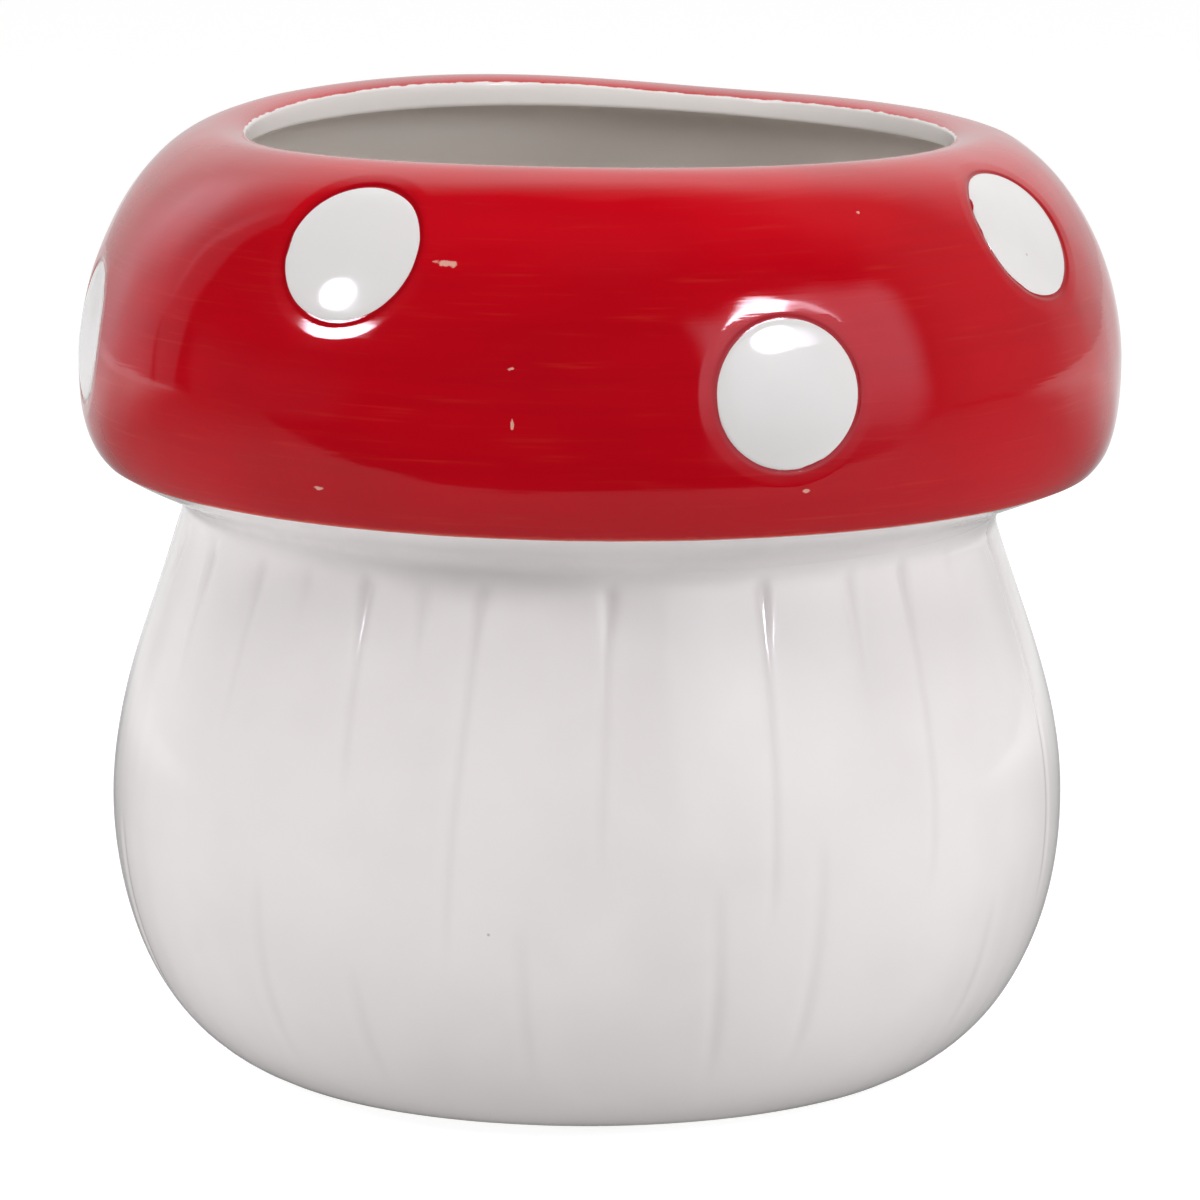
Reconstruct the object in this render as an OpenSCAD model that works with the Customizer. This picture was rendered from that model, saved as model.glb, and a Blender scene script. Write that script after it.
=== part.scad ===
// Glazed ceramic mushroom planter: a grooved white stem pot under a hollow red cap,
// with a wavy open mouth and raised white spots. The ring of the foot rests on Z = 0, the front
// faces -Y, and azimuths count from the front, growing to the right.

/* [Cap] */
// Width of the cap across its widest part
cap_w = 160; // [150:1:170]
// Height of the rim's mean crest above the neck
cap_h = 58.4; // [54:0.2:64]
// Height of the cap's widest part above the neck
cap_widest_rise = 22.8; // [20:0.2:26]
// Height above the neck at which the red glaze ends on the lower roll
glaze_edge_rise = 7.6; // [7:0.2:9]
// How far the lower roll curls in from the widest part
roll_in = 7.4; // [6:0.2:9]
// How far the lower roll would go on below the edge of the red glaze
roll_tail = 1.4; // [0.6:0.1:4]
// Height above the neck to which the cap's underside flares at once
underside_rise = 5; // [4.4:0.1:6]
// How far the cap's widest part stands out past the end of the stem's taper
cap_overhang = 20.6; // [17:0.2:23]
// How far the cap sits to the right of the stem
cap_shift = 2; // [0:0.25:3]
// How much lower the cap's edge hangs on its right side
edge_sag = 0.6; // [0:0.1:1]

/* [Mouth] */
// Inner width of the mouth
mouth_w = 108; // [104:0.5:110]
// Width of the rolled lip, from the inner face out to the crest
lip_w = 4.5; // [3.5:0.1:6]
// Fall of the rolled lip from the crest to the inner face
lip_fall = 1.2; // [0.6:0.1:2]
// Height of the pale face round the mouth
lip_face_h = 2.4; // [1.6:0.1:2.6]
// Height by which the rim stands above its mean on the left, and below it on the right
rim_left_rise = 0.8; // [0:0.1:1.5]
// Rise and fall of the rim, twice round
rim_sway = 0.8; // [0:0.1:1.5]
// Rise and fall of the rim, three times round
rim_ripple = 0.25; // [0:0.05:0.5]

/* [Walls] */
// Thickness of the cast wall of the stem and the cap
wall_t = 4; // [3.4:0.1:4.4]
// Thickness of the pot's floor
floor_t = 5; // [4:0.25:8]

/* [Stem] */
// Height of the neck, where the stem meets the cap
neck_h = 87; // [80:0.5:95]
// Width of the stem across its belly
belly_w = 146.8; // [140:0.5:152]
// Height of the belly's widest part
belly_h = 41.8; // [38:0.2:46]
// Width at which the curve under the belly would end
base_w = 86; // [76:1:96]
// How far below the table that curve would end
base_sink = 0.5; // [0.1:0.1:3]
// How far above the neck the stem's taper would end
taper_rise = 18.8; // [14:0.4:25]

/* [Grooves] */
// Width of a groove with its ridge
groove_w = 3.4; // [2:0.1:4]
// Depth of the deepest groove
groove_depth = 0.8; // [0.2:0.05:1.2]

/* [Foot] */
// Width of the unglazed ring that the pot stands on
foot_w = 95; // [84:1:98]
// Width of that ring's band
foot_band_w = 6; // [3:0.5:10]
// Height of that ring
foot_h = 1.3; // [1:0.1:3]
// Radius of the ring's worn lower edges
foot_edge_r = 0.5; // [0.2:0.05:0.8]

/* [Spots] */
// Width of a spot across its glazed face
spot_w = 22; // [18:0.5:23]
// Height of the middle of the low spots above the neck
spot_low_rise = 28.6; // [26:0.2:31]
// Height of the middle of the high spots above the neck
spot_high_rise = 47.6; // [45:0.2:49]
// Rise of a spot's crown above the red glaze
spot_rise = 1.2; // [0.4:0.1:2]
// Rise of a spot's outer edge above the red glaze
spot_edge_rise = 0.3; // [0:0.05:0.5]
// Depth of the pocket that a spot is seated in
pocket_d = 0.8; // [0.4:0.1:1]
// Width of the crease between a spot and the side of its pocket
crease_w = 0.5; // [0.3:0.05:1]

/* [Hidden] */
$fn = 96;

// Squareness of the curves under the belly, in the lower roll and over the dome, where 2 is round
belly_square = 2.1;
roll_square = 2.4;
dome_square = 1.76;
// Azimuth of the nearest high point of the rim's double rise
rim_sway_azimuth = 17;
// How fast the rim's wave dies away down the dome
rim_fade = 1.5;

// Counts of the columns round the cap, of samples along its outline, and of rings along each face
cap_columns = 80;
dome_samples = 90;
dome_inner_rings = 5;
lip_rings = 2;
underside_rings = 6;
underside_inner_rings = 3;
// Count of the sectors round a spot
spot_sectors = 20;
// Places of the dome's rings, as shares of its outline's length, closer round the lower roll
dome_ring_shares = [0, 0.035, 0.075, 0.12, 0.17, 0.24, 0.32, 0.42, 0.52, 0.62, 0.72, 0.82, 0.91, 1];

// Azimuths of the spots, in order round the cap, low and high by turns
spot_azimuths = [-80, -30, 20, 60, 106, 149, 193, 236];
// Radii of the rings of a spot's crown, as shares of its radius, with their rise as shares of
// the way from its edge to its crown
crown_shares = [[1, 0], [0.86, 0.38], [0.5, 0.82]];

// Levels of the stem's rings, as shares of the way down from the neck to the foot
level_shares = [1, 0.975, 0.94, 0.88, 0.81, 0.73, 0.64, 0.55, 0.46, 0.37, 0.29, 0.21, 0.14, 0.08, 0.03, 0];
inner_level_shares = [0, 0.16, 0.36, 0.56, 0.74, 0.88];
// A groove's azimuth at the neck and at the foot, then one or two cuts: where each starts and
// ends as shares of the way down, and its depth as a share of the deepest
groove_shares = [
    [-88, -86, 0.01, 0.42, 0.5],
    [-76, -74, 0.01, 0.16, 0.4, 0.52, 0.9, 0.6],
    [-63, -62, 0.01, 0.3, 0.5],
    [-50, -51, 0.01, 0.36, 0.5],
    [-41, -43, 0.01, 0.15, 0.4, 0.52, 0.92, 0.6],
    [-31, -28, 0.01, 0.42, 0.9, 0.66, 0.94, 0.6],
    [-22, -23, 0.01, 0.22, 0.5],
    [-14, -18, 0.01, 0.7, 0.8],
    [-9, -7, 0.56, 0.92, 0.6],
    [3, 0, 0.01, 0.54, 0.8],
    [14, 16, 0.5, 0.93, 0.9],
    [24, 20, 0.01, 0.64, 1],
    [29, 27, 0.44, 0.92, 0.7],
    [38, 35, 0.01, 0.28, 0.5],
    [48, 41, 0.01, 0.62, 0.8],
    [59, 56, 0.01, 0.1, 0.5, 0.6, 0.9, 0.4],
    [76, 70, 0.01, 0.7, 0.7],
    [89, 86, 0.3, 0.9, 0.5],
    [101, 98, 0.01, 0.5, 0.9],
    [112, 113, 0.01, 0.24, 0.5, 0.55, 0.92, 0.7],
    [124, 120, 0.01, 0.66, 0.8],
    [137, 136, 0.4, 0.93, 0.6],
    [148, 151, 0.01, 0.46, 0.9],
    [160, 160, 0.01, 0.2, 0.4, 0.6, 0.92, 0.6],
    [172, 169, 0.01, 0.7, 0.8],
    [185, 187, 0.48, 0.93, 0.7],
    [197, 194, 0.01, 0.56, 1],
    [209, 211, 0.01, 0.3, 0.5],
    [221, 219, 0.01, 0.14, 0.4, 0.5, 0.92, 0.7],
    [233, 236, 0.01, 0.62, 0.8],
    [246, 247, 0.4, 0.9, 0.6],
    [258, 260, 0.01, 0.5, 0.7]
];
// Share of the way down over which a cut fades in and out
cut_fade_share = 0.07;
// Places of the three columns across a groove, as shares of its half width, and their relief as
// shares of its depth: a low ridge to the left of the cut
column_shares = [-0.7, 0.1, 1];
relief_shares = [0.35, -1, 0];

cap_r = cap_w / 2;
mouth_r = mouth_w / 2;
crest_r = mouth_r + lip_w;
belly_r = belly_w / 2;
base_r = base_w / 2;
taper_r = cap_r - cap_overhang;
foot_r = foot_w / 2;
spot_r = spot_w / 2;
floor_h = foot_h + floor_t;
belly_drop = belly_h + base_sink;
taper_h = neck_h + taper_rise;
underside_h = neck_h + underside_rise;
glaze_edge_h = neck_h + glaze_edge_rise;
cap_widest_h = neck_h + cap_widest_rise;
rim_h = neck_h + cap_h;
roll_drop = cap_widest_h - glaze_edge_h + roll_tail;

// A point in the upright plane, from its radius and height, turned to an azimuth
function at_azimuth(p, azimuth) = [p.x * sin(azimuth), -p.x * cos(azimuth), p.y];

// The share that v has reached of the way from a to b, held between 0 and 1
function reached(v, a, b) = min(1, max(0, (v - a) / (b - a)));

// Quarter of a squared circle, from angle a to angle b, in a number of steps
function squared_arc(centre, size, square, a, b, steps) = [
    for (i = [0:steps])
        let (t = a + (b - a) * i / steps)
        [
            centre.x + size.x * pow(abs(cos(t)), 2 / square),
            centre.y + sign(t) * size.y * pow(abs(sin(t)), 2 / square)
        ]
];

// Lengths along a line of points, from its start to each point
function lengths_along(points) = [
    for (i = 0, s = 0; i < len(points); i = i + 1, s = i < len(points) ? s + norm(points[i] - points[i - 1]) : s) s
];

// Outline of the dome in the upright plane, from the glaze edge out, up and over to the crest
edge_angle = asin(pow((cap_widest_h - glaze_edge_h) / roll_drop, roll_square / 2));
roll_samples = round(dome_samples / 4);
dome_outline = concat(
    squared_arc([cap_r - roll_in, cap_widest_h], [roll_in, roll_drop], roll_square, -edge_angle, 0, roll_samples),
    [for (i = [1:dome_samples])
        squared_arc([crest_r, cap_widest_h], [cap_r - crest_r, rim_h - cap_widest_h], dome_square, 0, 90,
            dome_samples)[i]]
);
dome_lengths = lengths_along(dome_outline);
dome_length = dome_lengths[len(dome_lengths) - 1];
radius_table = [for (i = [0:len(dome_outline) - 1]) [dome_lengths[i], dome_outline[i].x]];
height_table = [for (i = [0:len(dome_outline) - 1]) [dome_lengths[i], dome_outline[i].y]];
length_table = [for (i = [0:len(dome_outline) - 1]) [dome_outline[i].y, dome_lengths[i]]];
dome_step = dome_length / dome_samples;

// The dome's outline at a length along it, and the same point moved in by a depth
function dome_at(s) = [lookup(s, radius_table), lookup(s, height_table)];
function dome_in(s, depth) =
    let (d = dome_at(s + dome_step) - dome_at(s - dome_step), t = d / norm(d))
    dome_at(s) + depth * [-t.y, t.x];

edge_point = dome_at(0);
edge_inner_point = dome_in(0, wall_t);

// Radius of the stem at a height, without its grooves
function stem_r(h) =
    h < belly_h
        ? base_r + (belly_r - base_r)
            * pow(1 - pow((belly_h - h) / belly_drop, belly_square), 1 / belly_square)
        : taper_r + (belly_r - taper_r) * (1 + cos(180 * (h - belly_h) / (taper_h - belly_h))) / 2;

neck_r = stem_r(neck_h);

// Outline of the cap's underside, a cubic curve from the neck to the glaze edge
function underside_at(t) =
    pow(1 - t, 3) * [neck_r, neck_h]
    + 3 * pow(1 - t, 2) * t * [neck_r, underside_h]
    + 3 * (1 - t) * t * t * [edge_point.x - (glaze_edge_h - underside_h), underside_h]
    + t * t * t * edge_point;
function underside_in(t, depth) =
    let (d = underside_at(t + 1 / dome_samples) - underside_at(t - 1 / dome_samples), n = d / norm(d))
    underside_at(t) + depth * [-n.y, n.x];

// Height of the rim over its mean at an azimuth
function rim_wave(azimuth) =
    rim_sway * cos(2 * (azimuth - rim_sway_azimuth))
    - rim_left_rise * sin(azimuth)
    - rim_ripple * sin(3 * azimuth);

// A point of the cap, settled as the soft clay did: the rim waves, the edge sags to the right,
// and below the edge everything draws over to the stem's own axis
function settled(p, azimuth) =
    let (
        over_stem = 1 - reached(p.y, neck_h, glaze_edge_h),
        sag = (1 - over_stem) * (1 - reached(p.y, edge_inner_point.y, cap_widest_h)),
        rim = pow(reached(p.y, cap_widest_h, rim_h), rim_fade),
        flat = at_azimuth(p, azimuth)
    )
    [
        flat.x - cap_shift * over_stem,
        flat.y,
        flat.z + rim_wave(azimuth) * rim - edge_sag * sag * flat.x / edge_point.x
    ];

// The glazed skin of the dome at a length along its outline, with the way that it faces
function skin(s, azimuth) = settled(dome_at(s), azimuth);
function skin_normal(s, azimuth) =
    let (
        turn = dome_step / cap_r * 180 / PI,
        n = cross(
            skin(s, azimuth + turn) - skin(s, azimuth - turn),
            skin(s + dome_step, azimuth) - skin(s - dome_step, azimuth)
        )
    )
    n / norm(n);

// Faces that join ring a to ring b, each of m points, and the faces that close a ring of m points
function strip(a, b, m) = [
    for (j = [0:m - 1])
        let (k = (j + 1) % m)
        each [[a * m + j, b * m + k, a * m + k], [a * m + j, b * m + j, b * m + k]]
];

// Solid between rings in a closed loop, like a tube bent round
module ring_loop(rings) {
    m = len(rings[0]);
    n = len(rings);
    polyhedron([for (r = rings) each r], [for (i = [0:n - 1]) each strip(i, (i + 1) % n, m)]);
}

// Solid between stacked rings, closed flat at both ends
module ring_stack(rings) {
    m = len(rings[0]);
    n = len(rings);
    polyhedron(
        [for (r = rings) each r],
        concat(
            [for (i = [0:n - 2]) each strip(i, i + 1, m)],
            [[for (j = [0:m - 1]) j]],
            [[for (j = [m - 1:-1:0]) (n - 1) * m + j]]
        )
    );
}

// Solid between stacked rings, closed by a middle point at both ends
module ring_pad(first, rings, last) {
    m = len(rings[0]);
    n = len(rings);
    polyhedron(
        concat([for (r = rings) each r], [first, last]),
        concat(
            [for (i = [0:n - 2]) each strip(i, i + 1, m)],
            [for (j = [0:m - 1]) [j, (j + 1) % m, n * m]],
            [for (j = [0:m - 1]) [(n - 1) * m + j, n * m + 1, (n - 1) * m + (j + 1) % m]]
        )
    );
}

// Depth of a groove, as a share of the deepest, at a share of the way down
function cut_share(u, start, end, depth) =
    depth * reached(u, start, start + cut_fade_share) * (1 - reached(u, end - cut_fade_share, end));
function groove_share(row, u) =
    cut_share(u, row[2], row[3], row[4]) + (len(row) > 5 ? cut_share(u, row[5], row[6], row[7]) : 0);

// Azimuth of a groove at a share of the way down, where the one after the last is the first again
function groove_azimuth(g, u) =
    let (row = groove_shares[g % len(groove_shares)])
    row[0] + (row[1] - row[0]) * u + (g < len(groove_shares) ? 0 : 360);

// One ring of the stem at a share of the way down, moved in by a depth, with or without grooves:
// the columns of each groove, and one between it and the next
function stem_ring(u, depth, relief) =
    let (
        h = neck_h + (foot_h - neck_h) * u,
        slope = (stem_r(h + groove_depth) - stem_r(h - groove_depth)) / (2 * groove_depth),
        r = stem_r(h) - depth * sqrt(1 + slope * slope),
        half_turn = groove_w / 2 / belly_r * 180 / PI
    )
    [
        for (g = [0:len(groove_shares) - 1])
            let (cut = relief * groove_depth * groove_share(groove_shares[g], u), middle = groove_azimuth(g, u))
            each concat(
                [
                    for (c = [0:len(column_shares) - 1])
                        at_azimuth([r + cut * relief_shares[c], h], middle + column_shares[c] * half_turn)
                ],
                [at_azimuth([r, h], (middle + groove_azimuth(g + 1, u)) / 2)]
            )
    ];

// A spot's point at a radius and an angle about its middle, at a height over the dome's skin
function spot_place(i) = [
    lookup(neck_h + (i % 2 == 0 ? spot_low_rise : spot_high_rise), length_table), spot_azimuths[i]
];
function spot_point(i, radius, angle, rise) =
    let (
        place = spot_place(i),
        s = place[0] + radius * cos(angle),
        across = (dome_at(s).x + dome_at(place[0]).x) / 2,
        azimuth = place[1] + radius * sin(angle) / across * 180 / PI
    )
    skin(s, azimuth) + rise * skin_normal(s, azimuth);
function spot_ring(i, radius, rise) = [
    for (j = [0:spot_sectors - 1]) spot_point(i, radius, -360 * j / spot_sectors, rise)
];

// The pot: grooved outside, smooth inside, with a flat floor
module stem() {
    floor_share = (floor_h - neck_h) / (foot_h - neck_h);
    color([0.9, 0.89, 0.87])
        translate([-cap_shift, 0, 0])
            ring_stack(concat(
                [for (u = level_shares) stem_ring(u, 0, 1)],
                [for (u = inner_level_shares) stem_ring(u, wall_t, 0)],
                [stem_ring(floor_share, wall_t, 0)]
            ));
}

// The bare ring under the pot, rounded where it is worn
module foot_ring() {
    color([0.78, 0.74, 0.68])
        translate([-cap_shift, 0, 0])
            rotate_extrude()
                translate([foot_r - foot_band_w, 0]) {
                    translate([0, foot_edge_r])
                        square([foot_band_w, foot_h - foot_edge_r]);
                    translate([foot_edge_r, 0])
                        square([foot_band_w - 2 * foot_edge_r, foot_h]);
                    for (x = [foot_edge_r, foot_band_w - foot_edge_r])
                        translate([x, foot_edge_r])
                            circle(foot_edge_r);
                }
}

// The white flare from the neck out to the glaze edge
module cap_underside() {
    outer = [for (i = [0:underside_rings]) underside_at(i / underside_rings)];
    inner = concat(
        [edge_inner_point],
        [for (i = [underside_inner_rings - 1:-1:1]) underside_in(i / underside_inner_rings, wall_t)],
        [[neck_r - wall_t, neck_h]]
    );
    color([0.88, 0.87, 0.85])
        ring_loop([for (p = concat(outer, inner)) cap_ring(p)]);
}

// A ring of the cap through a point of its outline
function cap_ring(p) = [for (j = [0:cap_columns - 1]) settled(p, 360 * j / cap_columns)];

// The red shell, with its rolled lip, before the pockets are cut
module dome_shell() {
    crest_in = dome_in(dome_length, wall_t);
    lip_top = [mouth_r, rim_h - lip_fall];
    outer = [for (share = dome_ring_shares) dome_at(dome_length * share)];
    lip = [
        for (i = [1:lip_rings])
            let (a = 90 * i / lip_rings)
            [crest_r - (crest_r - mouth_r) * sin(a), lip_top.y + lip_fall * cos(a)]
    ];
    face = [lip_top - [0, lip_face_h]];
    inner = [for (i = [dome_inner_rings:-1:1]) dome_in(dome_length * i / dome_inner_rings, wall_t)];
    ring_loop([for (p = concat(outer, lip, face, inner, [edge_inner_point])) cap_ring(p)]);
}

// The shallow pocket under a spot, open to the outside
module pocket(i) {
    radius = spot_r + crease_w;
    ring_pad(
        spot_point(i, 0, 0, -pocket_d),
        [
            spot_ring(i, spot_r / 2, -pocket_d),
            spot_ring(i, spot_r, -pocket_d),
            spot_ring(i, radius, -pocket_d),
            spot_ring(i, radius, wall_t)
        ],
        spot_point(i, 0, 0, wall_t)
    );
}

module cap_dome() {
    color([0.7, 0.03, 0.08])
        difference() {
            dome_shell();
            for (i = [0:len(spot_azimuths) - 1]) pocket(i);
        }
}

// A domed white spot that fills its pocket but for the crease round it
module spot(i) {
    color([0.93, 0.92, 0.91])
        ring_pad(
            spot_point(i, 0, 0, -pocket_d),
            concat(
                [spot_ring(i, spot_r / 2, -pocket_d), spot_ring(i, spot_r, -pocket_d)],
                [
                    for (c = crown_shares)
                        spot_ring(i, spot_r * c[0], spot_edge_rise + (spot_rise - spot_edge_rise) * c[1])
                ]
            ),
            spot_point(i, 0, 0, spot_rise)
        );
}

stem();
foot_ring();
cap_underside();
cap_dome();
spot(0);  // spot_1
spot(1);  // spot_2
spot(2);  // spot_3
spot(3);  // spot_4
spot(4);  // spot_5
spot(5);  // spot_6
spot(6);  // spot_7
spot(7);  // spot_8
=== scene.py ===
import bisect
import functools
import math

import bmesh
import bpy
from bpy.props import FloatProperty, FloatVectorProperty, IntProperty, PointerProperty
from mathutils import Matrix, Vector, noise


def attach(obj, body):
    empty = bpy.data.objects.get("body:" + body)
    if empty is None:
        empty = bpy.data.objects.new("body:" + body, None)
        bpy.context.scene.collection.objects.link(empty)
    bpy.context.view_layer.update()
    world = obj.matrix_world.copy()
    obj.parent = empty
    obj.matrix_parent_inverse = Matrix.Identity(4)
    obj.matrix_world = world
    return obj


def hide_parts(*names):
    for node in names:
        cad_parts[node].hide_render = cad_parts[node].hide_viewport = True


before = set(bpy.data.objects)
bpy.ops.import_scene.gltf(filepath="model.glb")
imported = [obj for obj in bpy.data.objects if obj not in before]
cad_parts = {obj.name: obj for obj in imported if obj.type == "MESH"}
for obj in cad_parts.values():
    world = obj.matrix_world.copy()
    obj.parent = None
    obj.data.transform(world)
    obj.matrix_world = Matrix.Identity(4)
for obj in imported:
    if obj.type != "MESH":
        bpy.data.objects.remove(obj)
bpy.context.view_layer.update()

bl_info = {
    "name": "Mushroom planter",
    "version": (1, 0, 0),
    "blender": (4, 5, 0),
    "location": "3D View > Sidebar > Planter",
    "description": "Glazed ceramic mushroom planter: grooved stem pot, red cap with white spots",
    "category": "Object",
}

MM = 0.001
BODY = "root"
# A turned form is swept in this many sectors; edges that bend by more than the angle stay sharp
SECTORS = 20
SHARP = math.radians(50)
# Azimuths count from the front (-Y) and grow to the right (+X). Squareness 2 is a round curve.
BELLY_SQUARE = 2.1
ROLL_SQUARE = 2.4
DOME_SQUARE = 1.76
RIM_SWAY_AZIMUTH = math.radians(17)
RIM_FADE = 1.5
BACK_DIP_AZIMUTH = math.radians(164)
BACK_DIP_TURN = math.radians(25)
# A spot marks the skin within this distance and turn of its middle
SPOT_REACH = 20 * MM
SPOT_TURN = 0.4
SPOT_AZIMUTHS = [math.radians(turn) for turn in (-80, -30, 20, 60, 106, 149, 193, 236)]
# A groove's azimuth at the neck and at the foot in degrees, then one or two cuts: where each
# starts and ends as shares of the way down, and its depth as a share of the deepest
GROOVES = [
    (-88, -86, 0.01, 0.42, 0.5),
    (-76, -74, 0.01, 0.16, 0.4, 0.52, 0.9, 0.6),
    (-63, -62, 0.01, 0.3, 0.5),
    (-50, -51, 0.01, 0.36, 0.5),
    (-41, -43, 0.01, 0.15, 0.4, 0.52, 0.92, 0.6),
    (-31, -28, 0.01, 0.42, 0.9, 0.66, 0.94, 0.6),
    (-22, -23, 0.01, 0.22, 0.5),
    (-14, -18, 0.01, 0.7, 0.8),
    (-9, -7, 0.56, 0.92, 0.6),
    (3, 0, 0.01, 0.54, 0.8),
    (14, 16, 0.5, 0.93, 0.9),
    (24, 20, 0.01, 0.64, 1),
    (29, 27, 0.44, 0.92, 0.7),
    (38, 35, 0.01, 0.28, 0.5),
    (48, 41, 0.01, 0.62, 0.8),
    (59, 56, 0.01, 0.1, 0.5, 0.6, 0.9, 0.4),
    (76, 70, 0.01, 0.7, 0.7),
    (89, 86, 0.3, 0.9, 0.5),
    (101, 98, 0.01, 0.5, 0.9),
    (112, 113, 0.01, 0.24, 0.5, 0.55, 0.92, 0.7),
    (124, 120, 0.01, 0.66, 0.8),
    (137, 136, 0.4, 0.93, 0.6),
    (148, 151, 0.01, 0.46, 0.9),
    (160, 160, 0.01, 0.2, 0.4, 0.6, 0.92, 0.6),
    (172, 169, 0.01, 0.7, 0.8),
    (185, 187, 0.48, 0.93, 0.7),
    (197, 194, 0.01, 0.56, 1),
    (209, 211, 0.01, 0.3, 0.5),
    (221, 219, 0.01, 0.14, 0.4, 0.5, 0.92, 0.7),
    (233, 236, 0.01, 0.62, 0.8),
    (246, 247, 0.4, 0.9, 0.6),
    (258, 260, 0.01, 0.5, 0.7),
]
# Shares of the way down over which a cut fades in and out, and fades in where it starts at the neck
CUT_FADE = 0.07
NECK_FADE = 0.035
# Across a groove, in half widths from its middle: height, middle and width of its ridge and its cut
GROOVE_WAVES = ((0.22, -0.85, 0.5), (-1.05, 0.1, 0.45))
# Chips in the red glaze: azimuth in degrees, height, length and width in mm
CHIPS = [(-17.5, 133.4, 3.4, 1.0), (-9.3, 119.6, 1.2, 0.6), (-9.0, 111.8, 0.5, 1.6),
         (33, 139.5, 0.7, 0.5), (-31, 100.5, 1.6, 0.7), (22, 101.5, 1.2, 0.6)]
# Colours of small marks, and the warm white of the lip
POOLED_RED = (0.34, 0.0009, 0.005)
CHIPPED_RED = (0.75, 0.42, 0.34)
LIP_WHITE = (0.94, 0.89, 0.86)
PINHOLE = (0.30, 0.27, 0.24)
SPOT_PINHOLE = (0.35, 0.3, 0.28)
CLAY_SHADE = (0.52, 0.47, 0.41)
CLAY_GRIT = (0.30, 0.25, 0.20)
# The camera: place and aim in metres, then its focal length and shift in pixels of the frame
CAMERA_PLACE = Vector((0, -1.076, 0.2776))
CAMERA_AIM = Vector((0, 0, 0.073))
FRAME_PIXELS = 1200
FOCAL_PIXELS = 7084.5
SHIFT_PIXELS = -11
# Half the table's width, and how far it comes forward of the planter's middle
TABLE_HALF = 1.6
TABLE_FRONT = 0.25
# The studio, in degrees about a point in the planter's middle, and metres.
# Lights: azimuths, heights, distance, radiance
MIDDLE = Vector((0, 0, 0.1))
LIGHTS = [
    ("key_right", (29, 46), (13, 30), 0.57, 17),
    ("key_left", (-70, -53), (17, 33), 0.57, 19),
    ("fill_right", (22, 76), (-10, 35), 1.0, 0.75),
    ("fill_side", (84, 130), (-5, 40), 1.2, 0.85),
    ("fill_left", (-150, -104), (-4, 12), 1.2, 0.1),
    ("fill_front", (-35, 25), (0, 26), 1.2, 0.38),
    ("fill_top", (-30, 30), (45, 78), 1.2, 2.0),
    ("fill_top_right", (38, 122), (48, 78), 1.2, 1.8),
    ("fill_top_left", (-122, -38), (48, 78), 1.2, 1.5),
]
CARD_TINT = (1, 0.93, 1.08, 1)
# Cards: the same, then the shares that fade on the left, right, low and high, then hot patches
CARDS = [
    ("window_right", (20, 76), (-20, 38), 1.0, 1.2, (0.1, 0.18, 0.6, 0.16)),
    ("lamp_right", (25, 60), (23, 40), 0.57, 0.0, (0.01, 0.01, 0.02, 0.01),
     ((36.5, 28, 7.5, 0.4, 32), (45, 25, 9, 0.9, 7))),
    ("lamp_left", (-85, -40), (20.5, 44), 0.57, 0.05, (0.3, 0.3, 0.02, 0.3),
     ((-61, 26.5, 6.2, 0.4, 32), (-58, 22, 8, 0.9, 4))),
    ("panel_left", (-147, -109.5), (-8, 56), 1.2, 0.3, (0.35, 0.03, 0.05, 0.4),
     ((-131, 27, 17, 1.0, 0.55),)),
    ("strip_left", (-112, -101.5), (-8, 48), 1.2, 0.22, (0.05, 0.1, 0.05, 0.2)),
    ("room_left", (-100, -50), (-8, 16), 1.4, 0.1, (0.1, 0.3, 0.2, 0.5)),
]


def length(size_mm, name, text):
    return FloatProperty(name=name, description=text, default=size_mm * MM, unit="LENGTH",
                         subtype="DISTANCE", precision=5)


def count(number, name, text):
    return IntProperty(name=name, description=text, default=number, min=3)


def colour(red, green, blue, name, text):
    return FloatVectorProperty(name=name, description=text, default=(red, green, blue),
                               subtype="COLOR", size=3, min=0, max=1)


class PLANTER_PG_cap(bpy.types.PropertyGroup):
    """Sizes of the red cap and its open mouth"""
    width: length(160, "Width", "Width of the cap across its widest part")
    height: length(58.4, "Height", "Height of the rim's mean crest above the neck")
    widest_rise: length(22.8, "Widest rise", "Height of the widest part above the neck")
    edge_rise: length(7.6, "Edge rise", "Height above the neck at which the red glaze ends")
    roll_in: length(7.4, "Roll in", "How far the lower roll curls in from the widest part")
    roll_tail: length(1.4, "Roll tail", "How far the lower roll would go on below the red glaze")
    underside_rise: length(5, "Underside rise", "Height above the neck to which the underside flares")
    overhang: length(20.6, "Overhang", "How far the cap stands out past the end of the stem's taper")
    shift: length(2, "Shift", "How far the cap sits to the right of the stem")
    edge_sag: length(0.6, "Edge sag", "How much lower the cap's edge hangs on its right side")
    mouth_width: length(108, "Mouth width", "Inner width of the mouth")
    lip_width: length(4.5, "Lip width", "Width of the rolled lip, from the inner face out to the crest")
    lip_fall: length(1.2, "Lip fall", "Fall of the rolled lip from the crest to the inner face")
    lip_face: length(2.6, "Lip face", "Height of the pale face round the mouth")
    lip_deeper: length(0.9, "Lip deeper", "How much taller that face is at the back than at the sides")
    lip_turn: length(0.7, "Lip turn", "Radius at which that face turns under")
    left_rise: length(0.8, "Left rise", "Height by which the rim stands above its mean on the left")
    sway: length(0.8, "Sway", "Rise and fall of the rim, twice round")
    ripple: length(0.25, "Ripple", "Rise and fall of the rim, three times round")
    back_dip: length(0.9, "Back dip", "How far the rim dips at the back, right of the middle")
    wall: length(4, "Wall", "Thickness of the cast wall")
    paint_over: length(4.3, "Red over the lip", "How far the red glaze runs in over the crest")
    columns: count(400, "Columns", "Faces round the cap")


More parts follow.
